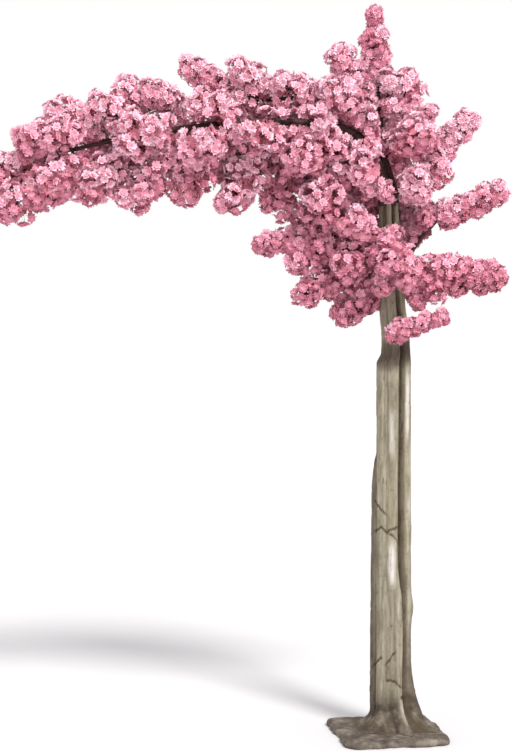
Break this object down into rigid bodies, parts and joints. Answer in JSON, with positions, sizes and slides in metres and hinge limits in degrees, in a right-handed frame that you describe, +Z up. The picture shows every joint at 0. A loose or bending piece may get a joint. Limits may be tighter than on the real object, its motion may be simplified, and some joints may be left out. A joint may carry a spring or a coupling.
{
  "type": "artificial cherry blossom tree",
  "caption": "Artificial cherry blossom tree: a moulded bundle trunk on a flat foot, with pink silk blossom along limbs that reach level to one side as half of an arch.",
  "frame": {"origin": "on the flat underside of the foot, straight below the trunk", "axes": "+Z up the trunk; the half arch reaches towards -X; -Y is the front of the tree"},
  "size_m": [1.8488, 0.4916, 2.5068],
  "materials": {
    "foot_moulding": "matt brown-grey moulded skin over a flat steel plate",
    "trunk_bark": "matt moulded bark, pale khaki grey with dark grooves and cracks",
    "limb_bark": "matt dark brown wrapped limb",
    "silk_pale": "matt silk petals, pale pink",
    "silk_mid": "matt silk petals, mid pink",
    "silk_rose": "matt silk petals, deep rose"
  },
  "bodies": {
    "root": {"foot_plate": "foot_moulding", "trunk": "trunk_bark", "arch_rise": "limb_bark", "arch_span": "limb_bark", "arch_upper": "limb_bark", "leader": "limb_bark", "limb_right_high": "limb_bark", "limb_right_mid": "limb_bark", "limb_left": "limb_bark", "blossom_tip_hook": "silk_mid", "blossom_tip_nose": "silk_mid", "blossom_tip_crest": "silk_mid", "blossom_crest_far": "silk_pale", "blossom_crest_mid": "silk_pale", "blossom_crest_peak": "silk_pale", "blossom_crest_near": "silk_pale", "blossom_crest_low": "silk_pale", "blossom_knob": "silk_pale", "blossom_crest_high": "silk_pale", "blossom_shoulder_top": "silk_pale", "blossom_cheek_far": "silk_pale", "blossom_cheek_mid": "silk_pale", "blossom_cheek_near": "silk_pale", "blossom_shoulder_mid": "silk_pale", "blossom_shoulder_front": "silk_pale", "blossom_shoulder_low": "silk_mid", "blossom_belly_far": "silk_mid", "blossom_belly_mid": "silk_mid", "blossom_belly_near": "silk_mid", "blossom_belly_close": "silk_mid", "blossom_belly_root": "silk_mid", "blossom_back_far": "silk_rose", "blossom_back_mid": "silk_rose", "blossom_back_near": "silk_rose", "blossom_back_shoulder": "silk_rose", "blossom_spire": "silk_pale", "blossom_left_horn": "silk_pale", "blossom_crown_left": "silk_pale", "blossom_crown_right_top": "silk_pale", "blossom_crown_right": "silk_pale", "blossom_crown_right_low": "silk_pale", "blossom_crown_center": "silk_pale", "blossom_right_lobe": "silk_pale", "blossom_right_lobe_low": "silk_mid", "blossom_back_crown_high": "silk_rose", "blossom_back_crown_low": "silk_rose", "blossom_collar_left": "silk_mid", "blossom_collar_front": "silk_rose", "blossom_collar_right": "silk_mid", "blossom_throat": "silk_rose", "blossom_throat_left": "silk_rose", "blossom_throat_right": "silk_rose", "blossom_hang_left": "silk_rose", "blossom_stray_left": "silk_rose", "blossom_skirt_left": "silk_rose", "blossom_skirt_low": "silk_rose", "blossom_back_collar": "silk_rose", "blossom_spray_up": "silk_mid", "blossom_spray_out": "silk_rose", "blossom_spray_low": "silk_rose"}
  },
  "joints": []
}
